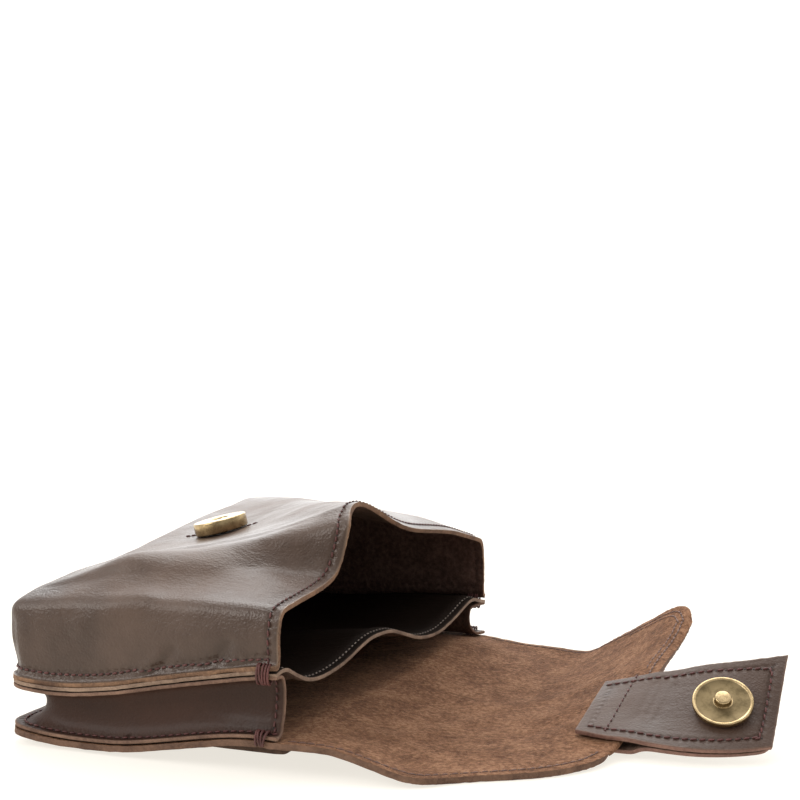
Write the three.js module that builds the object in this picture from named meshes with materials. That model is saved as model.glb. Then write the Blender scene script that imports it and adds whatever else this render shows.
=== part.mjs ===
// Leather belt bag, lying open on its back: front pocket, divider, folded gusset,
// back panel cut in one with the flap, closing tab, two magnetic snap halves and
// two belt loops. X runs from the bottom of the bag to the flap, Y from the near
// side to the far side, Z up. Lengths are in millimetres.
import * as THREE from 'three';

// Outer sizes of the bag
const bagWidth = 168.8;
const bagDepth = 93;
const frontRise = 63.7;
const flapLength = 86.5;
const flapCurl = 26.6;
const tabWidth = 37;
const tabReach = 57;
const tabRise = 26.7;

// Leather and the air left between two pieces
const frontLeather = 1.8;
const dividerLeather = 1.4;
const gussetLeather = 1.4;
const backLeather = 1.8;
const tabLeather = 1.4;
const loopLeather = 1.4;
const clearance = 0.3;

// Folds and seams
const rimRadius = 5;
const wallBulge = 1;
const flangeWidth = 1.8;
const bottomLean = 3.5;
const mouthForward = 3.2;
const mouthFade = 0.3;
const flangeFold = 3.2;
const gussetHeight = 18;
const nearTuck = 7.5;
const farTuck = 11;
const nearRecess = 0.3;
const farRecess = 2.5;
const gussetCorner = 9;
const dividerWave = 5.2;
const footShare = 0.6;
const backBlend = 13;
const sideSteps = 10;

// Belt loops
const slotHeight = 5.6;
const loopWidth = 28;
const loopLength = 43;
const loopInset = 20;
const loopReturn = 8;
const loopFold = 2.6;
const loopFromMouth = 5;

// Magnetic snap
const snapDiameter = 18;
const socketThickness = 4.2;
const socketHole = 5.4;
const socketHoleDepth = 2.6;
const studDiameter = 5;
const studHeight = 2.2;
const discThickness = 1.6;
const rimHeight = 0.5;
const rimWidth = 1.2;
const chamfer = 0.4;
const socketFromMouth = 63;
const studAlongTab = 0.73;
const roundSides = 28;

// Sizes worked out from the ones above
const halfWidth = bagWidth / 2;
const innerHalf = halfWidth - rimRadius;
const rimDepth = bagDepth - rimRadius;
const innerDepth = rimDepth - bottomLean;
const cornerRadius = rimRadius + flangeWidth;
const edgeHalf = innerHalf + cornerRadius;
const edgeDepth = innerDepth + cornerRadius;
const backRest = loopLeather + slotHeight;
const loopLine = edgeHalf - loopInset - loopWidth / 2;

// Height of the back panel's underside, as a share of the space that the belt loops need.
// along: share of the depth from the mouth. near, far: at the side seams. The others: over
// the near loop, down the middle and over the far loop.
const backLevels = [
  { along: 0.0, near: 1.09, nearLoop: 1.08, middle: 0.92, farLoop: 1.03, far: 0.58 },
  { along: 0.11, near: 1.12, nearLoop: 1.07, middle: 0.91, farLoop: 1.03, far: 0.62 },
  { along: 0.26, near: 0.85, nearLoop: 1.0, middle: 0.81, farLoop: 0.97, far: 0.58 },
  { along: 0.45, near: 0.4, nearLoop: 0.87, middle: 0.6, farLoop: 0.85, far: 0.37 },
  { along: 0.6, near: 0.14, nearLoop: 0.24, middle: 0.18, farLoop: 0.24, far: 0.15 },
  { along: 0.78, near: 0.13, nearLoop: 0.0, middle: 0.0, farLoop: 0.0, far: 0.09 },
  { along: 1.0, near: 0.44, nearLoop: 0.18, middle: 0.09, farLoop: 0.15, far: 0.37 },
];

// Height of the gusset at the two side seams, as a share of its height at the near mouth corner.
const gussetLevels = [
  { along: 0.0, near: 1.0, far: 0.62 },
  { along: 0.2, near: 0.9, far: 0.62 },
  { along: 0.45, near: 0.89, far: 0.63 },
  { along: 0.78, near: 0.73, far: 0.64 },
  { along: 1.0, near: 0.67, far: 0.64 },
];

// Lengthwise folds of the front panel, from the near rim to the far rim. Each column of a fold
// is one station along the depth. across: share of the half width inside the rims.
// height: share of the front's rise over the back panel. forward: share that the fold pushes the
// mouth edge forward.
const frontStations = [0, 0.09, 0.23, 0.455, 0.716, 1];
const frontFolds = {
  nearRim: {
    forward: 0,
    across: [-1, -1, -1, -1, -1, -1],
    height: [0.636, 0.639, 0.647, 0.639, 0.615, 0.578],
  },
  shoulder: {
    forward: 0.3,
    across: [-0.592, -0.63, -0.705, -0.83, -0.905, -0.93],
    height: [0.699, 0.694, 0.686, 0.686, 0.662, 0.589],
  },
  ridge: {
    forward: 1,
    across: [-0.548, -0.56, -0.592, -0.68, -0.806, -0.83],
    height: [0.914, 0.898, 0.867, 0.788, 0.738, 0.602],
  },
  hollow: {
    forward: 0.15,
    across: [-0.453, -0.44, -0.378, -0.227, -0.038, 0],
    height: [0.981, 0.953, 0.903, 0.81, 0.716, 0.666],
  },
  crest: {
    forward: 0,
    across: [-0.327, -0.214, -0.082, 0.214, 0.54, 0.83],
    height: [0.997, 0.976, 0.94, 0.882, 0.812, 0.746],
  },
  slope: {
    forward: 0,
    across: [0.126, 0.176, 0.353, 0.567, 0.756, 0.894],
    height: [0.788, 0.848, 0.84, 0.8, 0.772, 0.738],
  },
  shelf: {
    forward: 0,
    across: [0.63, 0.63, 0.705, 0.806, 0.88, 0.951],
    height: [0.681, 0.74, 0.735, 0.725, 0.727, 0.728],
  },
  farRim: {
    forward: 0,
    across: [1, 1, 1, 1, 1, 1],
    height: [0.568, 0.608, 0.625, 0.648, 0.68, 0.719],
  },
};

// Wall of the front panel from its rim down to the flange that is sewn. radius, bulge, flange:
// shares that the wall stands out by. drop: share of the rim radius below the rim. below: share of
// the straight wall passed. fold: share of the flange's fold left over the flange. lean: share of
// the bottom wall's lean.
const wallSteps = [
  { radius: 0.5, bulge: 0, flange: 0, drop: 0.134, below: 0, fold: 1, lean: 0 },
  { radius: 0.866, bulge: 0, flange: 0, drop: 0.5, below: 0, fold: 1, lean: 0 },
  { radius: 1, bulge: 0, flange: 0, drop: 1, below: 0, fold: 1, lean: 0.05 },
  { radius: 1, bulge: 1, flange: 0, drop: 1, below: 0.5, fold: 1, lean: 0.35 },
  { radius: 1, bulge: 0.4, flange: 0, drop: 1, below: 1, fold: 1, lean: 0.85 },
  { radius: 1, bulge: 0, flange: 0.42, drop: 1, below: 1, fold: 0.1, lean: 1 },
  { radius: 1, bulge: 0, flange: 1, drop: 1, below: 1, fold: 0, lean: 1 },
];

// Wave of the divider's free edge across the mouth. lift: share of the wave's depth.
const dividerEdge = [
  { across: -1, lift: 0 },
  { across: -0.93, lift: 0.3 },
  { across: -0.85, lift: -0.35 },
  { across: -0.75, lift: -0.9 },
  { across: -0.65, lift: -1 },
  { across: -0.47, lift: -0.69 },
  { across: -0.3, lift: 0 },
  { across: -0.2, lift: 0.31 },
  { across: -0.07, lift: 0.31 },
  { across: 0.12, lift: -0.33 },
  { across: 0.25, lift: -0.85 },
  { across: 0.45, lift: -0.98 },
  { across: 0.64, lift: -0.38 },
  { across: 0.78, lift: 0.27 },
  { across: 0.86, lift: 0.5 },
  { across: 0.94, lift: 0.1 },
  { across: 1, lift: 0 },
];

// Section of the gusset between its two seams. inward: share of the tuck.
// height: share of the gusset's height there.
const gussetSection = [
  { inward: 0, height: 1 },
  { inward: 0.36, height: 1 },
  { inward: 0.78, height: 0.97 },
  { inward: 0.97, height: 0.78 },
  { inward: 1, height: 0.5 },
  { inward: 0.86, height: 0.22 },
  { inward: 0.58, height: 0.05 },
  { inward: 0.34, height: 0 },
  { inward: 0, height: 0 },
];

// Flap beyond the mouth. Places of its near and far edge as shares of the flap's length and of
// the half width at the seams, and heights of its underside as shares of the curled corner's height,
// at six places from the near to the far edge.
const flapPlaces = [0, 0.18, 0.36, 0.58, 0.82, 1];
const flapRows = [
  { nearOut: 0.17, near: -0.965, farOut: 0.17, far: 0.98, levels: [0.27, 0.16, 0.12, 0.12, 0.13, 0.1] },
  { nearOut: 0.32, near: -0.96, farOut: 0.32, far: 0.975, levels: [0.15, 0.05, 0.03, 0.04, 0.07, 0.095] },
  { nearOut: 0.44, near: -0.95, farOut: 0.46, far: 0.97, levels: [0.045, 0, 0, 0.01, 0.04, 0.07] },
  { nearOut: 0.505, near: -0.91, farOut: 0.53, far: 0.945, levels: [0.02, 0, 0.01, 0.04, 0.1, 0.18] },
  { nearOut: 0.56, near: -0.85, farOut: 0.6, far: 0.915, levels: [0, 0, 0.02, 0.08, 0.18, 0.33] },
  { nearOut: 0.68, near: -0.768, farOut: 0.7, far: 0.845, levels: [0, 0.02, 0.085, 0.21, 0.34, 0.54] },
  { nearOut: 0.79, near: -0.695, farOut: 0.8, far: 0.785, levels: [0, 0.052, 0.19, 0.38, 0.51, 0.75] },
  { nearOut: 0.88, near: -0.605, farOut: 0.89, far: 0.72, levels: [0.01, 0.085, 0.28, 0.51, 0.68, 0.94] },
  { nearOut: 0.945, near: -0.495, farOut: 0.965, far: 0.655, levels: [0.03, 0.145, 0.39, 0.61, 0.77, 1] },
  { nearOut: 0.98, near: -0.35, farOut: 1, far: 0.565, levels: [0.07, 0.27, 0.48, 0.625, 0.71, 0.87] },
];

// Closing tab, from its base on the flap to its free end. out: share of its reach from the base.
// near: place of the near edge as a share of the tab's width. nearLevel, roll: height of the near
// edge as a share of the tab's rise, and lean of the tab across its width in degrees.
// tabBase: place of its base as a share of the flap's length. tabSkew: how much its rows lean back.
// tabJoin: share of its reach in which its two leathers come together past the flap's end.
// tabSlack: extra room over the flap, which slopes under the tab.
const tabBase = 0.805;
const tabSkew = 0.03;
const tabJoin = 0.07;
const tabSlack = 1.15;
const tabOverFlap = (flapLength * (1 - tabBase) + tabSkew * tabWidth + clearance) / tabReach;
const tabRows = [
  { out: 0.0, near: -0.77, nearLevel: 0.19, roll: 13 },
  { out: 0.145, near: -0.83, nearLevel: 0.195, roll: 17 },
  { out: 0.255, near: -0.845, nearLevel: 0.197, roll: 20.5 },
  { out: 0.28, near: -0.845, nearLevel: 0.197, roll: 21.5 },
  { out: 0.41, near: -0.84, nearLevel: 0.165, roll: 25.5 },
  { out: 0.6, near: -0.835, nearLevel: 0.145, roll: 32.5 },
  { out: 0.84, near: -0.71, nearLevel: 0.135, roll: 37 },
  { out: 1.0, near: -0.54, nearLevel: 0.145, roll: 38.5 },
];

// A smooth curve through rows of numbers: the value of one column at a key between them. Its
// slope is limited beside a level stretch, so that it doesn't swing past the numbers.
function smoothAt(keys, values, at) {
  const last = keys.length - 1;
  if (at <= keys[0]) return values[0];
  if (at >= keys[last]) return values[last];
  let i = 0;
  while (keys[i + 1] < at) i += 1;
  const secant = (from, to) => (values[to] - values[from]) / (keys[to] - keys[from]);
  const slope = (k) => {
    if (k === 0) return secant(0, 1);
    if (k === last) return secant(last - 1, last);
    const steepest = 3 * Math.min(Math.abs(secant(k - 1, k)), Math.abs(secant(k, k + 1)));
    return THREE.MathUtils.clamp(secant(k - 1, k + 1), -steepest, steepest);
  };
  const span = keys[i + 1] - keys[i];
  const t = (at - keys[i]) / span;
  const rise = values[i + 1] - values[i];
  const start = slope(i) * span - rise;
  const end = rise - slope(i + 1) * span;
  return values[i] + t * rise + t * (1 - t) * (start * (1 - t) + end * t);
}

function columnAt(rows, key, column, at) {
  return smoothAt(rows.map((row) => row[key]), rows.map((row) => row[column]), at);
}

function ease(share) {
  const t = THREE.MathUtils.clamp(share, 0, 1);
  return t * t * (3 - 2 * t);
}

// Height of the back panel's underside along the edge that is sewn, from its place in plan.
function seamLevel(x, y) {
  const along = THREE.MathUtils.clamp(-x / edgeDepth, 0, 1);
  const side = (y / edgeHalf + 1) / 2;
  const near = columnAt(backLevels, 'along', 'near', along);
  const far = columnAt(backLevels, 'along', 'far', along);
  return backRest * THREE.MathUtils.lerp(near, far, side);
}

function gussetLevel(x, y) {
  const along = THREE.MathUtils.clamp(-x / edgeDepth, 0, 1);
  const side = (y / edgeHalf + 1) / 2;
  const near = columnAt(gussetLevels, 'along', 'near', along);
  const far = columnAt(gussetLevels, 'along', 'far', along);
  return gussetHeight * THREE.MathUtils.lerp(near, far, side);
}

// The leathers lie on each other at the seams: back panel, gusset, divider, front panel.
function gussetFoot(x, y) {
  return seamLevel(x, y) + backLeather + clearance;
}

function gussetTop(x, y) {
  return gussetFoot(x, y) + gussetLevel(x, y);
}

function dividerTop(x, y) {
  return gussetTop(x, y) + clearance + dividerLeather;
}

function flangeTop(x, y) {
  return dividerTop(x, y) + clearance + frontLeather;
}

// Underside of the back panel anywhere inside the bag.
function backUnderside(x, y) {
  const along = THREE.MathUtils.clamp(-x / edgeDepth, 0, 1);
  const level = (column) => columnAt(backLevels, 'along', column, along);
  const places = [-loopLine, 0, loopLine];
  const inside = smoothAt(places, [level('nearLoop'), level('middle'), level('farLoop')], y);
  const fromEdge = Math.min(edgeHalf - Math.abs(y), x + edgeDepth) - farTuck * footShare;
  return THREE.MathUtils.lerp(seamLevel(x, y), backRest * inside, ease(fromEdge / backBlend));
}

// Half of the sewn outline's width at a place along the bag, with its round bottom corners.
function outlineHalf(x) {
  const past = Math.max(-x - innerDepth, 0);
  return innerHalf + Math.sqrt(Math.max(cornerRadius ** 2 - past ** 2, 0));
}

// Places along the bag from the mouth to the bottom edge, closer round the corners.
function bagPlaces() {
  const places = [];
  for (let i = 0; i <= sideSteps; i += 1) places.push((-innerDepth * i) / sideSteps);
  for (const angle of [0.25, 0.5, 0.75, 1]) {
    places.push(-innerDepth - cornerRadius * Math.sin((angle * Math.PI) / 2));
  }
  return places;
}

function vertexNormals(grid) {
  const normals = grid.map((row) => row.map(() => new THREE.Vector3()));
  const edge = new THREE.Vector3();
  const other = new THREE.Vector3();
  for (let r = 0; r < grid.length - 1; r += 1) {
    for (let c = 0; c < grid[r].length - 1; c += 1) {
      edge.subVectors(grid[r + 1][c + 1], grid[r][c]);
      other.subVectors(grid[r + 1][c], grid[r][c + 1]);
      const face = new THREE.Vector3().crossVectors(edge, other);
      for (const [i, j] of [[r, c], [r + 1, c], [r, c + 1], [r + 1, c + 1]]) normals[i][j].add(face);
    }
  }
  for (const row of normals) for (const normal of row) normal.normalize();
  return normals;
}

function offsetGrid(grid, normals, distance) {
  return grid.map((row, r) => row.map((point, c) => point.clone().addScaledVector(normals[r][c], distance)));
}

// A sheet of leather between two grids of points, closed round its four edges.
function sheetBetween(topGrid, bottomGrid) {
  const rows = topGrid.length;
  const columns = topGrid[0].length;
  const positions = [];
  for (const grid of [topGrid, bottomGrid]) {
    for (const row of grid) for (const point of row) positions.push(point.x, point.y, point.z);
  }
  const top = (r, c) => r * columns + c;
  const bottom = (r, c) => rows * columns + r * columns + c;
  const faces = [];
  const quad = (a, b, c, d) => faces.push([a, b, c], [a, c, d]);
  for (let r = 0; r < rows - 1; r += 1) {
    for (let c = 0; c < columns - 1; c += 1) {
      quad(top(r, c), top(r, c + 1), top(r + 1, c + 1), top(r + 1, c));
      quad(bottom(r, c), bottom(r + 1, c), bottom(r + 1, c + 1), bottom(r, c + 1));
    }
    quad(top(r, 0), top(r + 1, 0), bottom(r + 1, 0), bottom(r, 0));
    const e = columns - 1;
    quad(top(r, e), bottom(r, e), bottom(r + 1, e), top(r + 1, e));
  }
  for (let c = 0; c < columns - 1; c += 1) {
    quad(top(0, c), bottom(0, c), bottom(0, c + 1), top(0, c + 1));
    const e = rows - 1;
    quad(top(e, c), top(e, c + 1), bottom(e, c + 1), bottom(e, c));
  }
  const geometry = new THREE.BufferGeometry();
  geometry.setAttribute('position', new THREE.Float32BufferAttribute(positions, 3));
  geometry.setIndex(faces.flat());
  geometry.computeVertexNormals();
  return geometry;
}

// Leather laid down from its upper face.
function sheet(grid, thickness) {
  return sheetBetween(grid, offsetGrid(grid, vertexNormals(grid), -thickness));
}

// Rows run from the mouth to the bottom and columns from near to far, so that a row's
// cross product with a column points up and out of the bag.
function frontGrid() {
  const folds = Object.values(frontFolds);
  const cellsPerFold = 3;
  const topRows = sideSteps;
  const wallRows = wallSteps.length;
  const columns = (folds.length - 1) * cellsPerFold;

  const topPoint = (row, column) => {
    const along = row / topRows;
    const places = folds.map((_, i) => i);
    const across = folds.map((fold) => smoothAt(frontStations, fold.across, along));
    const height = folds.map((fold) => smoothAt(frontStations, fold.height, along));
    const forward = mouthForward * (1 - ease(along / mouthFade));
    const at = column / cellsPerFold;
    const x = forward * smoothAt(places, folds.map((fold) => fold.forward), at) - rimDepth * along;
    const y = innerHalf * smoothAt(places, across, at);
    const z = backRest + frontRise * smoothAt(places, height, at);
    return new THREE.Vector3(x, y, z);
  };

  const wallPoint = (rim, direction, step) => {
    const out = rimRadius * step.radius + wallBulge * step.bulge + flangeWidth * step.flange;
    const x = rim.x * (1 - (step.lean * bottomLean) / rimDepth) + direction.x * out;
    const y = rim.y + direction.y * out;
    const upper = rim.z - rimRadius * step.drop;
    const lower = flangeTop(x, y) + flangeFold * step.fold;
    return new THREE.Vector3(x, y, THREE.MathUtils.lerp(upper, lower, step.below));
  };

  const grid = [];
  for (let r = 0; r <= topRows + wallRows; r += 1) {
    const row = [];
    for (let c = -wallRows; c <= columns + wallRows; c += 1) {
      const sideways = Math.max(-c, c - columns, 0);
      const endways = Math.max(r - topRows, 0);
      const rim = topPoint(Math.min(r, topRows), THREE.MathUtils.clamp(c, 0, columns));
      const depth = Math.max(sideways, endways);
      if (depth === 0) {
        row.push(rim);
        continue;
      }
      const turn = sideways >= endways ? endways / sideways / 2 : 1 - sideways / endways / 2;
      const angle = (turn * Math.PI) / 2;
      const side = c < 0 ? -1 : 1;
      const direction = new THREE.Vector2(-Math.sin(angle), side * Math.cos(angle));
      row.push(wallPoint(rim, direction, wallSteps[depth - 1]));
    }
    grid.push(row);
  }
  return grid;
}

function dividerGrid() {
  const columns = 30;
  return bagPlaces().map((x) => {
    const half = outlineHalf(x);
    const fade = 1 - ease(-x / edgeDepth);
    const row = [];
    for (let c = 0; c <= columns; c += 1) {
      const y = half * ((2 * c) / columns - 1);
      const wave = dividerWave * columnAt(dividerEdge, 'across', 'lift', y / edgeHalf);
      row.push(new THREE.Vector3(x, y, dividerTop(x, y) + wave * fade));
    }
    return row;
  });
}

// One path round the near side, the bottom and the far side of the bag.
function seamPath(nearHalf, farHalf, depth, radius, nearStart, farStart) {
  const cornerSteps = 4;
  const bottomSteps = 10;
  const points = [];
  const turnAt = depth - radius;
  for (let i = 0; i < sideSteps; i += 1) {
    points.push(new THREE.Vector2(THREE.MathUtils.lerp(-nearStart, -turnAt, i / sideSteps), -nearHalf));
  }
  for (let i = 0; i <= cornerSteps; i += 1) {
    const angle = (i / cornerSteps) * (Math.PI / 2);
    points.push(new THREE.Vector2(-turnAt - radius * Math.sin(angle), -nearHalf + radius * (1 - Math.cos(angle))));
  }
  for (let i = 1; i < bottomSteps; i += 1) {
    points.push(new THREE.Vector2(-depth, THREE.MathUtils.lerp(-nearHalf + radius, farHalf - radius, i / bottomSteps)));
  }
  for (let i = 0; i <= cornerSteps; i += 1) {
    const angle = (i / cornerSteps) * (Math.PI / 2);
    points.push(new THREE.Vector2(-turnAt - radius * Math.cos(angle), farHalf - radius * (1 - Math.sin(angle))));
  }
  for (let i = 1; i <= sideSteps; i += 1) {
    points.push(new THREE.Vector2(THREE.MathUtils.lerp(-turnAt, -farStart, i / sideSteps), farHalf));
  }
  return points;
}

// The gusset's inner face: up the tuck between the two seams, all the way round.
function gussetGrid() {
  const outer = seamPath(edgeHalf, edgeHalf, edgeDepth, cornerRadius, 0, 0);
  const nearHalf = edgeHalf - nearTuck;
  const farHalf = edgeHalf - farTuck;
  const inner = seamPath(nearHalf, farHalf, edgeDepth - nearTuck, gussetCorner, nearRecess, farRecess);
  return outer.map((edge, i) => gussetSection.map((step) => {
    const place = edge.clone().lerp(inner[i], step.inward);
    const height = gussetLevel(place.x, place.y) * step.height;
    return new THREE.Vector3(place.x, place.y, gussetFoot(place.x, place.y) + height);
  }));
}

// The upper face of the back panel and of the flap that is cut in one with it.
function backGrid() {
  const columns = 20;
  const shares = Array.from({ length: columns + 1 }, (_, c) => c / columns);
  const bag = bagPlaces().map((x) => {
    const half = outlineHalf(x);
    return shares.map((share) => {
      const y = half * (2 * share - 1);
      return new THREE.Vector3(x, y, backUnderside(x, y) + backLeather);
    });
  });
  const coarse = flapRows.map((row) => shares.map((share) => {
    const x = flapLength * THREE.MathUtils.lerp(row.nearOut, row.farOut, share);
    const y = edgeHalf * THREE.MathUtils.lerp(row.near, row.far, share);
    const level = Math.max(smoothAt(flapPlaces, row.levels, share), 0);
    return new THREE.Vector3(x, y, flapCurl * level + backLeather);
  }));
  const stations = [bag[1], bag[0], ...coarse];
  const lines = shares.map((_, c) => new THREE.CatmullRomCurve3(stations.map((row) => row[c])));
  const flap = [];
  const steps = 2;
  const spans = stations.length - 1;
  for (let i = spans * steps; i > steps; i -= 1) {
    flap.push(lines.map((line) => {
      const point = line.getPoint(i / (spans * steps));
      point.z = Math.max(point.z, backLeather);
      return point;
    }));
  }
  return [...flap, ...bag];
}

// Height of a grid's surface over a place in plan, or undefined beside it.
function heightOver(grid, x, y) {
  const corner = (a, b, c) => {
    const area = (b.x - a.x) * (c.y - a.y) - (c.x - a.x) * (b.y - a.y);
    const u = ((b.x - x) * (c.y - y) - (c.x - x) * (b.y - y)) / area;
    const v = ((c.x - x) * (a.y - y) - (a.x - x) * (c.y - y)) / area;
    const w = 1 - u - v;
    const inside = Math.min(u, v, w) >= -1e-6;
    return inside ? u * a.z + v * b.z + w * c.z : undefined;
  };
  for (let r = 0; r < grid.length - 1; r += 1) {
    for (let c = 0; c < grid[r].length - 1; c += 1) {
      const [a, b, d, e] = [grid[r][c], grid[r + 1][c], grid[r + 1][c + 1], grid[r][c + 1]];
      const height = corner(a, b, d) ?? corner(a, d, e);
      if (height !== undefined) return height;
    }
  }
  return undefined;
}

// Places along the tab from its base, as shares of its reach, with one at the flap's end.
function tabPlaces() {
  const overRows = 4;
  const joinRows = 2;
  const freeRows = 8;
  const joined = tabOverFlap + tabJoin;
  const places = [];
  for (let i = 0; i < overRows; i += 1) places.push((tabOverFlap * i) / overRows);
  for (let i = 0; i < joinRows; i += 1) places.push(tabOverFlap + (tabJoin * i) / joinRows);
  for (let i = 0; i <= freeRows; i += 1) places.push(THREE.MathUtils.lerp(joined, 1, i / freeRows));
  return places;
}

// The upper face of the tab. Over the flap it lies on the suede; past the flap's end it
// twists up on its own. The columns keep the step that they had at the flap's end.
function tabGrid(flapGrid) {
  const columns = 6;
  const baseX = flapLength * tabBase;
  const seat = (clearance + tabLeather) * tabSlack;
  const step = new Array(columns + 1).fill(0);
  const grid = [];
  for (const at of tabPlaces()) {
    const roll = THREE.MathUtils.degToRad(columnAt(tabRows, 'out', 'roll', at));
    const nearY = tabWidth * columnAt(tabRows, 'out', 'near', at);
    const nearZ = tabRise * columnAt(tabRows, 'out', 'nearLevel', at);
    const row = [];
    for (let c = 0; c <= columns; c += 1) {
      const across = (tabWidth * c) / columns;
      const x = baseX + tabReach * at - tabSkew * across;
      const y = nearY + across * Math.cos(roll);
      const own = nearZ + across * Math.sin(roll);
      const under = heightOver(flapGrid, x, y);
      if (under !== undefined) step[c] = under + seat - own;
      row.push(new THREE.Vector3(x, y, own + step[c]));
    }
    grid.push(row);
  }
  return grid.reverse();
}

// Round metal piece turned about its own Z axis. The profile starts and ends on the axis.
function turned(profile) {
  const geometry = new THREE.LatheGeometry(profile.map(([r, z]) => new THREE.Vector2(r, z)), roundSides);
  geometry.rotateX(Math.PI / 2);
  return geometry;
}

// The surface of a grid over a place in plan, as one flat patch of a snap's width.
function placeOver(grid, x, y) {
  const arm = snapDiameter / 2;
  const at = (dx, dy) => new THREE.Vector3(x + dx, y + dy, heightOver(grid, x + dx, y + dy));
  const lengthwise = at(arm, 0).sub(at(-arm, 0));
  const crosswise = at(0, arm).sub(at(0, -arm));
  return { point: at(0, 0), normal: new THREE.Vector3().crossVectors(lengthwise, crosswise).normalize() };
}

// Place on a grid's surface, with the surface's own normal, between its rows and columns.
function surfaceAt(grid, normals, rowPlace, columnPlace) {
  const r = Math.min(Math.floor(rowPlace), grid.length - 2);
  const c = Math.min(Math.floor(columnPlace), grid[0].length - 2);
  const mix = (field) => {
    const near = field[r][c].clone().lerp(field[r][c + 1], columnPlace - c);
    const far = field[r + 1][c].clone().lerp(field[r + 1][c + 1], columnPlace - c);
    return near.lerp(far, rowPlace - r);
  };
  return { point: mix(grid), normal: mix(normals).normalize() };
}

// Stands a turned piece on a sheet, just clear of the highest leather under its disc.
function seated(mesh, grid, place, radius) {
  const upright = new THREE.Vector3(0, 0, 1);
  const rings = 6;
  const arm = new THREE.Vector3();
  let highest = 0;
  mesh.quaternion.setFromUnitVectors(upright, place.normal);
  for (let ring = 1; ring <= rings; ring += 1) {
    for (let turn = 0; turn < roundSides; turn += 1) {
      const angle = (turn / roundSides) * Math.PI * 2;
      const out = ((radius + clearance) * ring) / rings;
      arm.set(out * Math.cos(angle), out * Math.sin(angle), 0).applyQuaternion(mesh.quaternion);
      arm.add(place.point);
      const rise = heightOver(grid, arm.x, arm.y) - arm.z;
      highest = Math.max(highest, rise * place.normal.z);
    }
  }
  mesh.position.copy(place.point).addScaledVector(place.normal, highest + clearance);
  return mesh;
}

// A belt loop: a strap that lies on the floor, folds round at both ends and is sewn back
// under the back panel. The upper face is the one inside the loop.
function loopGrid(centreY) {
  const columns = 4;
  const half = loopLeather / 2;
  const foldSteps = 6;
  const mouthEnd = -loopFromMouth - loopFold - half;
  const bottomEnd = -loopFromMouth - loopLength + loopFold + half;
  const grid = [];
  const strapTop = (x, y) => backUnderside(x, y) - clearance - half;
  const addRow = (place) => {
    const row = [];
    for (let c = 0; c <= columns; c += 1) {
      const y = centreY + loopWidth * (c / columns - 0.5);
      const { x, z } = place(y);
      row.push(new THREE.Vector3(x, y, z));
    }
    grid.push(row);
  };
  const fold = (centreX, side, from, to) => {
    for (let i = 0; i <= foldSteps; i += 1) {
      const angle = THREE.MathUtils.lerp(from, to, i / foldSteps);
      addRow((y) => {
        const outermost = centreX + side * (loopFold + half);
        const top = Math.min(strapTop(centreX, y), strapTop(outermost, y));
        const radius = (top - half) / 2;
        return { x: centreX + side * loopFold * Math.cos(angle), z: half + radius * (1 + Math.sin(angle)) };
      });
    }
  };
  addRow((y) => ({ x: mouthEnd - loopReturn, z: strapTop(mouthEnd - loopReturn, y) }));
  addRow((y) => ({ x: mouthEnd - loopReturn / 2, z: strapTop(mouthEnd - loopReturn / 2, y) }));
  fold(mouthEnd, 1, Math.PI / 2, -Math.PI / 2);
  addRow(() => ({ x: (mouthEnd + bottomEnd) / 2, z: half }));
  fold(bottomEnd, -1, -Math.PI / 2, Math.PI / 2);
  addRow((y) => ({ x: bottomEnd + loopReturn / 2, z: strapTop(bottomEnd + loopReturn / 2, y) }));
  addRow((y) => ({ x: bottomEnd + loopReturn, z: strapTop(bottomEnd + loopReturn, y) }));
  return grid;
}

function beltLoop(centreY) {
  const middle = loopGrid(centreY);
  const normals = vertexNormals(middle);
  return sheetBetween(offsetGrid(middle, normals, loopLeather / 2), offsetGrid(middle, normals, -loopLeather / 2));
}

// The tab's second leather lies under the flap as far as the flap goes, then against the first.
function tabBack(grid, normals) {
  const apart = backLeather + 2 * clearance;
  const places = tabPlaces().reverse();
  const lower = (depth) => grid.map((row, r) => row.map((point, c) => {
    const past = (places[r] - tabOverFlap) / tabJoin;
    const under = apart * (1 - ease(past));
    return point.clone().addScaledVector(normals[r][c], -(tabLeather + clearance + under + depth));
  }));
  return sheetBetween(lower(0), lower(tabLeather));
}

function snapSocket(grid) {
  const radius = snapDiameter / 2;
  const hole = socketHole / 2;
  const floor = socketThickness - socketHoleDepth;
  const socket = turned([
    [0, 0],
    [radius - chamfer, 0],
    [radius, chamfer],
    [radius, socketThickness - chamfer],
    [radius - chamfer, socketThickness],
    [hole + chamfer, socketThickness],
    [hole, socketThickness - chamfer],
    [hole, floor],
    [0, floor],
  ]);
  const place = placeOver(grid, -socketFromMouth, 0);
  return seated(named('snap_socket', socket, antiqueBrass), grid, place, radius);
}

function snapStud(grid, normals) {
  const radius = snapDiameter / 2;
  const stud = studDiameter / 2;
  const well = discThickness - rimHeight;
  const top = well + studHeight;
  const disc = turned([
    [0, 0],
    [radius - chamfer, 0],
    [radius, chamfer],
    [radius, discThickness - chamfer / 2],
    [radius - chamfer, discThickness],
    [radius - rimWidth, well],
    [stud, well],
    [stud, top - chamfer],
    [stud - chamfer, top],
    [0, top],
  ]);
  const places = tabPlaces().reverse();
  const r = places.findIndex((place) => place < studAlongTab);
  const rowPlace = r - (studAlongTab - places[r]) / (places[r - 1] - places[r]);
  const place = surfaceAt(grid, normals, rowPlace, (grid[0].length - 1) / 2);
  return seated(named('snap_stud', disc, antiqueBrass), grid, place, radius);
}

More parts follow.
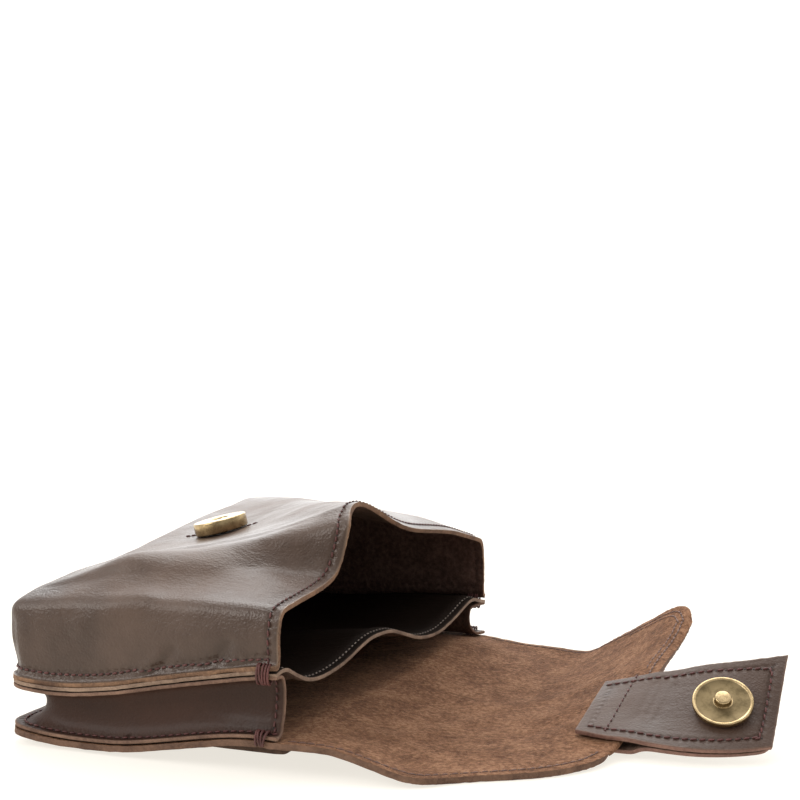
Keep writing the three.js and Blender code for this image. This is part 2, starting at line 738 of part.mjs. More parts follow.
const smoothLeather = new THREE.MeshStandardMaterial({ color: 0x4e3a30, roughness: 0.45, metalness: 0 });
const suede = new THREE.MeshStandardMaterial({ color: 0x8a6650, roughness: 0.95, metalness: 0 });
const innerLeather = new THREE.MeshStandardMaterial({ color: 0x35251e, roughness: 0.8, metalness: 0 });
const antiqueBrass = new THREE.MeshStandardMaterial({ color: 0x9a8450, roughness: 0.35, metalness: 1 });

function named(name, geometry, material) {
  const mesh = new THREE.Mesh(geometry, material);
  mesh.name = name;
  return mesh;
}

const front = frontGrid();
const back = backGrid();
const tab = tabGrid(back);
const tabNormals = vertexNormals(tab);

const bag = new THREE.Group();
bag.add(named('front_panel', sheet(front, frontLeather), smoothLeather));
bag.add(named('divider', sheet(dividerGrid(), dividerLeather), innerLeather));
bag.add(named('gusset', sheet(gussetGrid(), gussetLeather), smoothLeather));
bag.add(named('back_panel_flap', sheet(back, backLeather), suede));
bag.add(named('tab_face', sheet(tab, tabLeather), smoothLeather));
bag.add(named('tab_back', tabBack(tab, tabNormals), smoothLeather));
bag.add(named('belt_loop_near', beltLoop(-loopLine), smoothLeather));
bag.add(named('belt_loop_far', beltLoop(loopLine), smoothLeather));
bag.add(snapSocket(front));
bag.add(snapStud(tab, tabNormals));

// The origin is the middle of the bag's footprint, on the floor.
const box = new THREE.Box3().setFromObject(bag, true);
bag.position.set(-(box.min.x + box.max.x) / 2, -(box.min.y + box.max.y) / 2, -box.min.z);

export default bag;
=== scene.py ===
# Small leather belt bag lying open on its back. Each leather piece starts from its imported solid,
# gets a softer surface, folds and a raw edge, and is then sewn in the order of assembly.
import math

import bmesh
import bpy
import numpy as np
from mathutils import Matrix, Vector, noise
from mathutils.bvhtree import BVHTree
from mathutils.kdtree import KDTree


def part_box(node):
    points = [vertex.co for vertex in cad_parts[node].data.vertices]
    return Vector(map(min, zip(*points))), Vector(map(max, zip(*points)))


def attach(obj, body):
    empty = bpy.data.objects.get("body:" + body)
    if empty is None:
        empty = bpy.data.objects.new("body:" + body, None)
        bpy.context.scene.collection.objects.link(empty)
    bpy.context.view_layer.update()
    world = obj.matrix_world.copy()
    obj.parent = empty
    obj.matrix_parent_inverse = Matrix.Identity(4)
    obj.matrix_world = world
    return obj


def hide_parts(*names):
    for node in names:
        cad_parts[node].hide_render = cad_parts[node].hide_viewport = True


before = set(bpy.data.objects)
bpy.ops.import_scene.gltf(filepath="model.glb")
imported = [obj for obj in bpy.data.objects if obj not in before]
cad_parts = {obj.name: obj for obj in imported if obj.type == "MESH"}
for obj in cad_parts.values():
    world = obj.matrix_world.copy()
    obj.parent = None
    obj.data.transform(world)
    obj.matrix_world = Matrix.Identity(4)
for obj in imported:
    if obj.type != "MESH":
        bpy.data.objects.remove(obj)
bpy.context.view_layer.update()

# Where things are: the middle of the mouth on the floor, 0.1 mm inside the divider's free edge,
# and the camera, a long lens a little above the bag, in front of its near side and turned
# toward its bottom end.
mouth = Vector((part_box("divider")[1][0] - 0.0001, 0, 0))
camera = bpy.data.objects.new("camera", bpy.data.cameras.new("camera"))
bpy.context.collection.objects.link(camera)
camera.data.sensor_width = 36
camera.data.lens = 81.0
camera.data.clip_end = 30
camera.location = mouth + Vector((0.2231, -0.5319, 0.1492))
camera.rotation_euler = (math.pi / 2 - 0.0852, 0, 0.3944)
bpy.context.scene.camera = camera


# Back panel and flap: one piece of cowhide, 1.8 mm thick, its suede side turned up and its
# smooth side on the floor. It is cut by hand, so its edge is raw and a little fuzzy, and its
# far corner is curled up by use.
def connected(left, fold):
    """Groups of faces that carry on into each other, across hollows and folds up to an angle."""
    groups = []
    while left:
        group = [left.pop()]
        for face in group:
            for edge in face.edges:
                for other in edge.link_faces:
                    turn = face.normal.angle(other.normal)
                    if other in left and (turn < fold or not edge.is_convex):
                        left.remove(other)
                        group.append(other)
        groups.append(group)
    return groups


def one_side(node, thickness, facing):
    """One side of a leather solid as a sheet, without its cut edges.

    A face where the solid is much thicker than the leather belongs to a cut edge. A patch of
    such faces that lies inside the side is only a fold, and is kept.
    """
    skin = bmesh.new()
    skin.from_mesh(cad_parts[node].data)
    bmesh.ops.remove_doubles(skin, verts=skin.verts, dist=5e-6)
    solid = BVHTree.FromBMesh(skin)
    rims = set()
    for face in skin.faces:
        hit = solid.ray_cast(face.calc_center_median() - face.normal * 1e-5, -face.normal)
        if hit[0] is None or hit[3] > 1.5 * thickness:
            rims.add(face)
    sides = connected(set(skin.faces) - rims, math.radians(78))
    wanted = max(sides, key=lambda side: sum(facing(face) * face.calc_area() for face in side))
    inside = set(wanted)
    for patch in connected(rims, math.radians(60)):
        around = {other for face in patch for edge in face.edges for other in edge.link_faces}
        if around <= inside | set(patch):
            wanted.extend(patch)
    kept = set(wanted)
    bmesh.ops.delete(skin, geom=[face for face in skin.faces if face not in kept], context="FACES")
    bmesh.ops.join_triangles(
        skin,
        faces=skin.faces,
        angle_face_threshold=math.radians(85),
        angle_shape_threshold=math.radians(85),
    )
    return skin


def softened(skin, levels):
    """The same sheet with rounder folds and more points."""
    pattern = bpy.data.objects.new("pattern", bpy.data.meshes.new("pattern"))
    skin.to_mesh(pattern.data)
    skin.free()
    bpy.context.collection.objects.link(pattern)
    round_off = pattern.modifiers.new("round off", "SUBSURF")
    round_off.levels = levels
    round_off.render_levels = levels
    round_off.boundary_smooth = "PRESERVE_CORNERS"
    bpy.context.view_layer.update()
    sheet = bmesh.new()
    sheet.from_object(pattern, bpy.context.evaluated_depsgraph_get())
    bpy.data.objects.remove(pattern)
    sheet.normal_update()
    return sheet


def cut_line(sheet):
    """The points round the sheet's edge in order, with how far round each one is."""
    first = next(edge for edge in sheet.edges if edge.is_boundary)
    line = [first.verts[0], first.verts[1]]
    while line[-1] != line[0]:
        ahead = [edge.other_vert(line[-1]) for edge in line[-1].link_edges if edge.is_boundary]
        line.append(ahead[0] if ahead[0] != line[-2] else ahead[1])
    points = [vert.co.copy() for vert in line]
    runs = [0.0]
    for before, after in zip(points, points[1:]):
        runs.append(runs[-1] + (after - before).length)
    return points, runs


def edge_tree(points, runs):
    """A lookup of the nearest place on the edge, and how far round it is."""
    steps = 4
    tree = KDTree((len(points) - 1) * steps)
    rounds = []
    for i in range(len(points) - 1):
        for step in range(steps):
            share = step / steps
            tree.insert(points[i].lerp(points[i + 1], share), len(rounds))
            rounds.append(runs[i] + (runs[i + 1] - runs[i]) * share)
    tree.balance()
    return tree, rounds


def measured(sheet):
    """Stores on each point its distance from the cut edge and its run along that edge."""
    tree, rounds = edge_tree(*cut_line(sheet))
    from_edge = sheet.verts.layers.float.new("from_edge")
    along_edge = sheet.verts.layers.float.new("along_edge")
    for vert in sheet.verts:
        _, index, distance = tree.find(vert.co)
        vert[from_edge] = distance
        vert[along_edge] = rounds[index]


def worked(sheet, waves, creases, fray=0.00012):
    """Soft unevenness away from the seams, creases and a slightly uneven cut edge.

    A wave is its size and height. A crease is its start and end, from the mouth, its width and
    its lift, which is negative for a valley.
    """
    sheet.normal_update()
    from_edge = sheet.verts.layers.float["from_edge"]
    surface = BVHTree.FromBMesh(sheet)
    lines = []
    for start, end, width, height in creases:
        start, end = (surface.find_nearest(mouth + Vector(place))[0] for place in (start, end))
        lines.append((start, end - start, width, height))
    moves = []
    still_border = 0.012
    crease_border = 0.003
    for vert in sheet.verts:
        free = min(vert[from_edge] / still_border, 1)
        free = free * free * (3 - 2 * free)
        lift = 0.0
        for size, height in waves:
            lift += free * height * noise.noise(vert.co / size)
        for start, along, width, height in lines:
            share = (vert.co - start).dot(along) / along.length_squared
            nearest = start + along * min(max(share, 0), 1)
            away = (vert.co - nearest).length / width
            if away < 3:
                held = min(vert[from_edge] / crease_border, 1)
                lift += held * height * math.exp(-away * away)
        moves.append(vert.normal * lift)
    for vert, move in zip(sheet.verts, moves):
        vert.co += move
        if vert.is_boundary:
            near = min(edge.calc_length() for edge in vert.link_edges)
            vert.co += Vector(noise.noise_vector(vert.co * 900)) * min(fray, near / 5)
    sheet.normal_update()


def lifted(sheet, rise, chosen):
    """Presses the chosen part of a seam upward against the piece above it."""
    from_edge = sheet.verts.layers.float["from_edge"]
    reach = 0.009
    slope = 0.006
    for vert in sheet.verts:
        if chosen(vert.co):
            vert.co.z += rise * min(max((reach - vert[from_edge]) / slope, 0), 1)


def in_leather(name, sheet, thickness, materials, node):
    """Gives the sheet its thickness and rounded cut edge, and puts it in the place of its solid.

    The materials are those of the sheet's own side, the other side and the cut edge.
    """
    piece = bpy.data.objects.new(name, bpy.data.meshes.new(name))
    for face in sheet.faces:
        face.smooth = True
    sheet.to_mesh(piece.data)
    for material in materials:
        piece.data.materials.append(material)
    bpy.context.collection.objects.link(piece)
    wall = piece.modifiers.new("leather", "SOLIDIFY")
    wall.thickness = thickness
    wall.offset = -1
    wall.use_even_offset = True
    wall.material_offset = 1
    wall.material_offset_rim = 2
    edge = piece.modifiers.new("cut edge", "BEVEL")
    edge.width = 0.0003
    edge.segments = 2
    edge.limit_method = "ANGLE"
    edge.angle_limit = math.radians(62)
    edge.material = -1
    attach(piece, "root")
    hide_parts(node)


def node_in(tree, kind, place, **values):
    """A shader node at a place, with its settings and its numbers."""
    made = tree.nodes.new(kind)
    made.location = place
    for name, value in values.items():
        if hasattr(made, name):
            setattr(made, name, value)
        else:
            made.inputs[name.replace("_", " ")].default_value = value
    return made


def joined(tree, *pairs):
    """Links each pair of sockets."""
    for start, end in pairs:
        tree.links.new(start, end)


def grain_group():
    """Leather grain: small cells with fine creases between them, and a slow change of tone."""
    group = bpy.data.node_groups.new("leather grain", "ShaderNodeTree")
    face = group.interface
    face.new_socket("Cells", in_out="INPUT", socket_type="NodeSocketFloat").default_value = 900
    face.new_socket("Crackle", in_out="INPUT", socket_type="NodeSocketFloat").default_value = 0.3
    face.new_socket("Height", in_out="OUTPUT", socket_type="NodeSocketFloat")
    face.new_socket("Tone", in_out="OUTPUT", socket_type="NodeSocketFloat")
    start = group.nodes.new("NodeGroupInput")
    end = group.nodes.new("NodeGroupOutput")
    place = node_in(group, "ShaderNodeTexCoord", (-900, 0))
    bend = node_in(group, "ShaderNodeTexNoise", (-700, 300), Scale=220, Detail=2)
    pull = node_in(group, "ShaderNodeVectorMath", (-520, 200), operation="MULTIPLY_ADD")
    pull.inputs[1].default_value = (0.0016, 0.0016, 0.0016)
    cells = node_in(group, "ShaderNodeTexVoronoi", (-340, 200), feature="F1")
    cracks = node_in(group, "ShaderNodeTexVoronoi", (-340, -60), feature="DISTANCE_TO_EDGE", Scale=330)
    cracked = node_in(group, "ShaderNodeMapRange", (-160, -60), interpolation_type="SMOOTHSTEP")
    cracked.inputs["From Max"].default_value = 0.12
    where = node_in(group, "ShaderNodeTexNoise", (-340, -320), Scale=38, Detail=3, Roughness=0.6)
    there = node_in(group, "ShaderNodeMapRange", (-160, -320))
    there.inputs["From Min"].default_value = 0.5
    there.inputs["From Max"].default_value = 0.68
    open_cracks = node_in(group, "ShaderNodeMath", (0, -120), operation="SUBTRACT")
    open_cracks.inputs[0].default_value = 1.0
    shown = node_in(group, "ShaderNodeMath", (160, -160), operation="MULTIPLY")
    asked = node_in(group, "ShaderNodeMath", (320, -160), operation="MULTIPLY")
    cell_height = node_in(group, "ShaderNodeMath", (160, 160), operation="MULTIPLY")
    cell_height.inputs[1].default_value = 0.5
    turned = node_in(group, "ShaderNodeMapping", (-520, 520))
    turned.inputs["Rotation"].default_value = (0.1, 0.2, 0.35)
    turned.inputs["Scale"].default_value = (45, 260, 200)
    lines = node_in(group, "ShaderNodeTexNoise", (-340, 520), Scale=1, Detail=4, Roughness=0.6)
    lines.inputs["Distortion"].default_value = 0.5
    pebbled = node_in(group, "ShaderNodeTexNoise", (-340, 760), Scale=170, Detail=5, Roughness=0.62)
    uneven = node_in(group, "ShaderNodeMath", (0, 560), operation="ADD")
    raised = node_in(group, "ShaderNodeMath", (320, 260), operation="MULTIPLY_ADD")
    raised.inputs[1].default_value = 1.6
    height = node_in(group, "ShaderNodeMath", (480, 60), operation="SUBTRACT")
    tone = node_in(group, "ShaderNodeTexNoise", (0, -500), Scale=24, Detail=5, Roughness=0.62)
    joined(
        group,
        (place.outputs["Object"], bend.inputs["Vector"]),
        (bend.outputs["Color"], pull.inputs[0]),
        (place.outputs["Object"], pull.inputs[2]),
        (pull.outputs[0], cells.inputs["Vector"]),
        (pull.outputs[0], cracks.inputs["Vector"]),
        (start.outputs["Cells"], cells.inputs["Scale"]),
        (place.outputs["Object"], where.inputs["Vector"]),
        (place.outputs["Object"], tone.inputs["Vector"]),
        (cracks.outputs["Distance"], cracked.inputs["Value"]),
        (where.outputs["Fac"], there.inputs["Value"]),
        (cracked.outputs["Result"], open_cracks.inputs[1]),
        (open_cracks.outputs[0], shown.inputs[0]),
        (there.outputs["Result"], shown.inputs[1]),
        (shown.outputs[0], asked.inputs[0]),
        (start.outputs["Crackle"], asked.inputs[1]),
        (cells.outputs["Distance"], cell_height.inputs[0]),
        (place.outputs["Object"], turned.inputs["Vector"]),
        (turned.outputs["Vector"], lines.inputs["Vector"]),
        (place.outputs["Object"], pebbled.inputs["Vector"]),
        (lines.outputs["Fac"], uneven.inputs[0]),
        (pebbled.outputs["Fac"], uneven.inputs[1]),
        (uneven.outputs[0], raised.inputs[0]),
        (cell_height.outputs[0], raised.inputs[2]),
        (raised.outputs[0], height.inputs[0]),
        (asked.outputs[0], height.inputs[1]),
        (height.outputs[0], end.inputs["Height"]),
        (tone.outputs["Fac"], end.inputs["Tone"]),
    )
    return group


def seam_group():
    """The dent that a row of stitches pulls into leather, deeper at each needle hole."""
    group = bpy.data.node_groups.new("stitched dent", "ShaderNodeTree")
    face = group.interface
    face.new_socket("From Edge", in_out="INPUT", socket_type="NodeSocketFloat").default_value = 1
    face.new_socket("Along Edge", in_out="INPUT", socket_type="NodeSocketFloat")
    face.new_socket("Inset", in_out="INPUT", socket_type="NodeSocketFloat").default_value = 0.003
    face.new_socket("Pitch", in_out="INPUT", socket_type="NodeSocketFloat").default_value = 0.0026
    face.new_socket("Width", in_out="INPUT", socket_type="NodeSocketFloat").default_value = 0.0009
    face.new_socket("Dent", in_out="OUTPUT", socket_type="NodeSocketFloat")
    start = group.nodes.new("NodeGroupInput")
    end = group.nodes.new("NodeGroupOutput")
    off = node_in(group, "ShaderNodeMath", (-500, 100), operation="SUBTRACT")
    scaled = node_in(group, "ShaderNodeMath", (-340, 100), operation="DIVIDE")
    squared = node_in(group, "ShaderNodeMath", (-180, 100), operation="POWER")
    squared.inputs[1].default_value = 2
    fall = node_in(group, "ShaderNodeMath", (-20, 100), operation="MULTIPLY")
    fall.inputs[1].default_value = -1
    dent = node_in(group, "ShaderNodeMath", (140, 100), operation="EXPONENT")
    turns = node_in(group, "ShaderNodeMath", (-500, -140), operation="DIVIDE")
    angle = node_in(group, "ShaderNodeMath", (-340, -140), operation="MULTIPLY")
    angle.inputs[1].default_value = 2 * math.pi
    wave = node_in(group, "ShaderNodeMath", (-180, -140), operation="COSINE")
    deeper = node_in(group, "ShaderNodeMath", (-20, -140), operation="MULTIPLY_ADD")
    deeper.inputs[1].default_value = 0.25
    deeper.inputs[2].default_value = 0.75
    both = node_in(group, "ShaderNodeMath", (300, 0), operation="MULTIPLY")
    joined(
        group,
        (start.outputs["From Edge"], off.inputs[0]),
        (start.outputs["Inset"], off.inputs[1]),
        (off.outputs[0], scaled.inputs[0]),
        (start.outputs["Width"], scaled.inputs[1]),
        (scaled.outputs[0], squared.inputs[0]),
        (squared.outputs[0], fall.inputs[0]),
        (fall.outputs[0], dent.inputs[0]),
        (start.outputs["Along Edge"], turns.inputs[0]),
        (start.outputs["Pitch"], turns.inputs[1]),
        (turns.outputs[0], angle.inputs[0]),
        (angle.outputs[0], wave.inputs[0]),
        (wave.outputs[0], deeper.inputs[0]),
        (dent.outputs[0], both.inputs[0]),
        (deeper.outputs[0], both.inputs[1]),
        (both.outputs[0], end.inputs["Dent"]),
    )
    return group


leather_grain = grain_group()
stitched_dent = seam_group()


def finish_of(name):
    """An empty material and its shader."""
    material = bpy.data.materials.new(name)
    material.use_nodes = True
    return material, material.node_tree, material.node_tree.nodes["Principled BSDF"]


def tones(tree, place, *stops):
    """A colour ramp from pairs of place and colour."""
    ramp = tree.nodes.new("ShaderNodeValToRGB")
    ramp.location = place
    steps = ramp.color_ramp.elements
    while len(steps) < len(stops):
        steps.new(0.5)
    for step, (at, color) in zip(steps, stops):
        step.position = at
        step.color = (*color, 1)
    return ramp


def smooth_leather(name, dark, light, worn, roughness, inset, pitch, crackle, shine=0.5):
    """Waxed brown cowhide: fine grain, uneven tone, paler at its cut edge, dented by its seam."""
    material, tree, shader = finish_of(name)
    grain = node_in(tree, "ShaderNodeGroup", (-900, 0), node_tree=leather_grain)
    grain.inputs["Cells"].default_value = 1300
    grain.inputs["Crackle"].default_value = crackle
    distance = node_in(tree, "ShaderNodeAttribute", (-900, -300), attribute_name="from_edge")
    run = node_in(tree, "ShaderNodeAttribute", (-900, -500), attribute_name="along_edge")
    seam = node_in(tree, "ShaderNodeGroup", (-680, -400), node_tree=stitched_dent)
    seam.inputs["Inset"].default_value = inset
    seam.inputs["Pitch"].default_value = pitch
    color = tones(tree, (-640, 200), (0.32, dark), (0.7, light))
    rubbed = node_in(tree, "ShaderNodeMapRange", (-680, -150))
    rubbed.inputs["From Min"].default_value = 0.0007
    rubbed.inputs["From Max"].default_value = 0.0001
    rub = node_in(tree, "ShaderNodeMath", (-500, -150), operation="MULTIPLY")
    rub.inputs[1].default_value = 0.7
    mix = node_in(tree, "ShaderNodeMix", (-340, 150), data_type="RGBA")
    mix.inputs[7].default_value = (*worn, 1)
    rough = node_in(tree, "ShaderNodeMapRange", (-340, -60))
    rough.inputs["From Min"].default_value = 0.3
    rough.inputs["From Max"].default_value = 0.7
    rough.inputs["To Min"].default_value = roughness - 0.13
    rough.inputs["To Max"].default_value = roughness + 0.12
    fine = node_in(tree, "ShaderNodeBump", (-160, -300), Strength=0.5, Distance=0.0004)
    dent = node_in(tree, "ShaderNodeBump", (-340, -420), Strength=0.8, Distance=0.0006, invert=True)
    joined(
        tree,
        (grain.outputs["Tone"], color.inputs["Fac"]),
        (distance.outputs["Fac"], rubbed.inputs["Value"]),
        (rubbed.outputs["Result"], rub.inputs[0]),
        (rub.outputs[0], mix.inputs[0]),
        (color.outputs["Color"], mix.inputs[6]),
        (mix.outputs[2], shader.inputs["Base Color"]),
        (grain.outputs["Tone"], rough.inputs["Value"]),
        (rough.outputs["Result"], shader.inputs["Roughness"]),
        (distance.outputs["Fac"], seam.inputs["From Edge"]),
        (run.outputs["Fac"], seam.inputs["Along Edge"]),
        (seam.outputs["Dent"], dent.inputs["Height"]),
        (grain.outputs["Height"], fine.inputs["Height"]),
        (dent.outputs["Normal"], fine.inputs["Normal"]),
        (fine.outputs["Normal"], shader.inputs["Normal"]),
    )
    shader.inputs["IOR"].default_value = 1.44
    shader.inputs["Specular IOR Level"].default_value = shine
    shader.inputs["Specular Tint"].default_value = (1, 0.93, 0.86, 1)
    shader.inputs["Coat Weight"].default_value = 0.06
    shader.inputs["Coat Roughness"].default_value = 0.28
    return material


def suede(name, dark, middle, light, inset, pitch, depth):
    """Napped flesh side: short fibres, light and dark patches, scuffs and a stitched dent."""
    material, tree, shader = finish_of(name)
    place = node_in(tree, "ShaderNodeTexCoord", (-1300, 0))
    patches = node_in(tree, "ShaderNodeTexNoise", (-1050, 300), Scale=95, Detail=6, Roughness=0.66)
    patches.inputs["Distortion"].default_value = 0.2
    nap = node_in(tree, "ShaderNodeTexNoise", (-1050, 60), Scale=760, Detail=5, Roughness=0.72)
    fibre = node_in(tree, "ShaderNodeTexNoise", (-1050, -180), Scale=1900, Detail=3, Roughness=0.75)
    both = node_in(tree, "ShaderNodeMix", (-840, 200))
    both.inputs[0].default_value = 0.6
    color = tones(tree, (-640, 220), (0.4, dark), (0.5, middle), (0.61, light))
    turned = node_in(tree, "ShaderNodeMapping", (-1050, -420))
    turned.inputs["Rotation"].default_value = (0.2, 0.1, 0.5)
    turned.inputs["Scale"].default_value = (60, 110, 80)
    scuffs = node_in(tree, "ShaderNodeTexNoise", (-840, -420), Scale=1, Detail=5, Roughness=0.7)
    scuffs.inputs["Distortion"].default_value = 0.8
    scuffed = node_in(tree, "ShaderNodeMapRange", (-640, -420))
    scuffed.inputs["From Min"].default_value = 0.62
    scuffed.inputs["From Max"].default_value = 0.78
    scuffed.inputs["To Max"].default_value = 0.2
    mix = node_in(tree, "ShaderNodeMix", (-420, 200), data_type="RGBA")
    mix.inputs[7].default_value = (light[0] * 1.25, light[1] * 1.3, light[2] * 1.35, 1)
    distance = node_in(tree, "ShaderNodeAttribute", (-900, -640), attribute_name="from_edge")
    run = node_in(tree, "ShaderNodeAttribute", (-900, -840), attribute_name="along_edge")
    seam = node_in(tree, "ShaderNodeGroup", (-680, -700), node_tree=stitched_dent)
    seam.inputs["Inset"].default_value = inset
    seam.inputs["Pitch"].default_value = pitch
    dent = node_in(tree, "ShaderNodeBump", (-420, -600), Strength=1, Distance=0.0007, invert=True)
    coarse = node_in(tree, "ShaderNodeBump", (-240, -420), Strength=depth, Distance=0.0013)
    fine = node_in(tree, "ShaderNodeBump", (-60, -300), Strength=depth, Distance=0.0003)
    joined(
        tree,
        (place.outputs["Object"], patches.inputs["Vector"]),
        (place.outputs["Object"], nap.inputs["Vector"]),
        (place.outputs["Object"], fibre.inputs["Vector"]),
        (place.outputs["Object"], turned.inputs["Vector"]),
        (turned.outputs["Vector"], scuffs.inputs["Vector"]),
        (patches.outputs["Fac"], both.inputs[2]),
        (nap.outputs["Fac"], both.inputs[3]),
        (both.outputs[0], color.inputs["Fac"]),
        (scuffs.outputs["Fac"], scuffed.inputs["Value"]),
        (scuffed.outputs["Result"], mix.inputs[0]),
        (color.outputs["Color"], mix.inputs[6]),
        (mix.outputs[2], shader.inputs["Base Color"]),
        (distance.outputs["Fac"], seam.inputs["From Edge"]),
        (run.outputs["Fac"], seam.inputs["Along Edge"]),
        (seam.outputs["Dent"], dent.inputs["Height"]),
        (nap.outputs["Fac"], coarse.inputs["Height"]),
        (dent.outputs["Normal"], coarse.inputs["Normal"]),
        (fibre.outputs["Fac"], fine.inputs["Height"]),
        (coarse.outputs["Normal"], fine.inputs["Normal"]),
        (fine.outputs["Normal"], shader.inputs["Normal"]),
    )
    shader.inputs["Roughness"].default_value = 0.92
    shader.inputs["Specular IOR Level"].default_value = 0.25
    shader.inputs["Sheen Weight"].default_value = 0.16
    shader.inputs["Sheen Roughness"].default_value = 0.45
    shader.inputs["Sheen Tint"].default_value = (0.75, 0.5, 0.35, 1)
    return material


def raw_edge(name, dark, light):
    """Cut edge: the bare fibres of the leather, tan, blotchy and rough."""
    material, tree, shader = finish_of(name)
    place = node_in(tree, "ShaderNodeTexCoord", (-900, 0))
    fibres = node_in(tree, "ShaderNodeTexNoise", (-700, 120), Scale=900, Detail=5, Roughness=0.75)
    fibres.inputs["Distortion"].default_value = 0.4
    patches = node_in(tree, "ShaderNodeTexNoise", (-700, -120), Scale=130, Detail=3)
    both = node_in(tree, "ShaderNodeMix", (-500, 0))
    color = tones(tree, (-320, 60), (0.36, dark), (0.62, light))
    bump = node_in(tree, "ShaderNodeBump", (-240, -260), Strength=0.9, Distance=0.0003)
    joined(
        tree,
        (place.outputs["Object"], fibres.inputs["Vector"]),
        (place.outputs["Object"], patches.inputs["Vector"]),
        (fibres.outputs["Fac"], both.inputs[2]),
        (patches.outputs["Fac"], both.inputs[3]),
        (both.outputs[0], color.inputs["Fac"]),
        (color.outputs["Color"], shader.inputs["Base Color"]),
        (fibres.outputs["Fac"], bump.inputs["Height"]),
        (bump.outputs["Normal"], shader.inputs["Normal"]),
    )
    shader.inputs["Roughness"].default_value = 0.85
    return material


def edge_row(sheet, inset, pitch, chosen, up=0.0):
    """Stitches along the chosen part of the cut edge: place, normal and direction of each.

    They lie inward of the edge, and higher by up where they climb from a flange to a wall. Then
    each is moved between its neighbours, so that the row runs evenly.
    """
    points, runs = cut_line(sheet)
    tree, _ = edge_tree(points, runs)
    surface = BVHTree.FromBMesh(sheet)
    axes = list(zip(*points))
    count = round(runs[-1] / pitch)
    row = []
    for i in range(count):
        at, ahead = (
            Vector([np.interp(runs[-1] * (i + step) / count, runs, axis) for axis in axes])
            for step in (0, 0.3)
        )
        if not chosen(at):
            continue
        normal = surface.find_nearest(at)[1]
        along = (ahead - at).normalized()
        inward = normal.cross(along).normalized() * inset
        tries = [surface.find_nearest(at + inward * way + Vector((0, 0, up))) for way in (1, -1)]
        place = max(tries, key=lambda hit: tree.find(hit[0])[2])
        if tree.find(place[0])[2] > 0.6 * inset:
            row.append((place[0], place[1], along))
    for i in range(1, len(row) - 1):
        before, after = row[i - 1][0], row[i + 1][0]
        if (after - before).length < 3 * pitch:
            place, normal = surface.find_nearest((before + after) / 2)[:2]
            row[i] = (place, normal, row[i][2])
    return row


def other_face(row, thickness):
    """The same stitches where they come out on the leather's other face."""
    return [(place - normal * thickness, -normal, along) for place, normal, along in row]


def sewn(name, row, length, width, materials, proud=0.25):
    """Stitches lying in their needle holes: one flat bead of thread and one dark disc each, painted
    shade for the hole.

    The materials are the thread's and the painted hole shade's. A bead's middle stands above the
    leather by the share proud of its width.
    """
    bead = bmesh.new()
    bmesh.ops.create_uvsphere(bead, u_segments=8, v_segments=6, radius=1)
    thread = bmesh.new()
    for place, normal, along in row:
        along = (along - normal * along.dot(normal)).normalized()
        slanted = Matrix.Rotation(math.radians(7), 3, normal) @ along
        turn = Matrix((slanted, normal.cross(slanted), normal)).transposed().to_4x4()
        lift = width * proud * (1 + 0.3 * noise.noise(place * 700))
        shapes = (
            (place + normal * lift, (length / 2, width / 2, width * 0.42)),
            # The second shape is the needle hole: a small dark disc of painted shade.
            (place + along * length * 0.6, (width * 0.42, width * 0.42, width * 0.2)),
        )
        for index, (middle, size) in enumerate(shapes):
            where = Matrix.Translation(middle) @ turn @ Matrix.Diagonal((*size, 1))
            copies = {vert: thread.verts.new(where @ vert.co) for vert in bead.verts}
            for face in bead.faces:
                made = thread.faces.new([copies[vert] for vert in face.verts])
                made.material_index = index
                made.smooth = True
    bead.free()
    piece = bpy.data.objects.new(name, bpy.data.meshes.new(name))
    thread.to_mesh(piece.data)
    thread.free()
    for material in materials:
        piece.data.materials.append(material)
    bpy.context.collection.objects.link(piece)
    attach(piece, "root")


def thread_finish(name, dark, light):
    """Waxed, twisted thread, or the painted shade of a needle hole."""
    material, tree, shader = finish_of(name)
    place = node_in(tree, "ShaderNodeTexCoord", (-900, 0))
    twist = node_in(tree, "ShaderNodeTexNoise", (-700, 0), Scale=2400, Detail=3, Roughness=0.7)
    lot = node_in(tree, "ShaderNodeTexNoise", (-700, -240), Scale=260, Detail=2)
    both = node_in(tree, "ShaderNodeMix", (-500, 0))
    color = tones(tree, (-320, 60), (0.35, dark), (0.65, light))
    bump = node_in(tree, "ShaderNodeBump", (-240, -220), Strength=0.7, Distance=0.0002)
    joined(
        tree,
        (place.outputs["Object"], twist.inputs["Vector"]),
        (place.outputs["Object"], lot.inputs["Vector"]),
        (twist.outputs["Fac"], both.inputs[2]),
        (lot.outputs["Fac"], both.inputs[3]),
        (both.outputs[0], color.inputs["Fac"]),
        (color.outputs["Color"], shader.inputs["Base Color"]),
        (twist.outputs["Fac"], bump.inputs["Height"]),
        (bump.outputs["Normal"], shader.inputs["Normal"]),
    )
    shader.inputs["Roughness"].default_value = 0.6
    return material


back_thickness = 0.0018
flap_inset = 0.003
flap_pitch = 0.0028
flap_stitch = 0.0021
flap_suede = suede(
    "flap suede",
    dark=(0.105, 0.043, 0.02),
    middle=(0.225, 0.103, 0.05),
    light=(0.41, 0.215, 0.118),
    inset=flap_inset,
    pitch=flap_pitch,
    depth=1.0,
)
flap_edge = raw_edge("flap cut edge", (0.075, 0.036, 0.021), (0.2, 0.11, 0.068))
outside_leather = smooth_leather(
    "outside leather",
    dark=(0.036, 0.02, 0.014),
    light=(0.066, 0.039, 0.028),
    worn=(0.17, 0.105, 0.07),
    roughness=0.48,
    inset=flap_inset,
    pitch=0.0026,
    crackle=0.5,
)
maroon_thread = thread_finish("maroon thread", (0.045, 0.012, 0.01), (0.13, 0.038, 0.032))
brown_thread = thread_finish("dusty brown thread", (0.09, 0.042, 0.03), (0.2, 0.105, 0.075))
# The needle holes are not cut into the leather; a dark disc of painted shade stands in for each.
painted_hole_shade = thread_finish("needle hole", (0.01, 0.006, 0.005), (0.02, 0.012, 0.01))
maroon_stitch = [maroon_thread, painted_hole_shade]
brown_stitch = [brown_thread, painted_hole_shade]

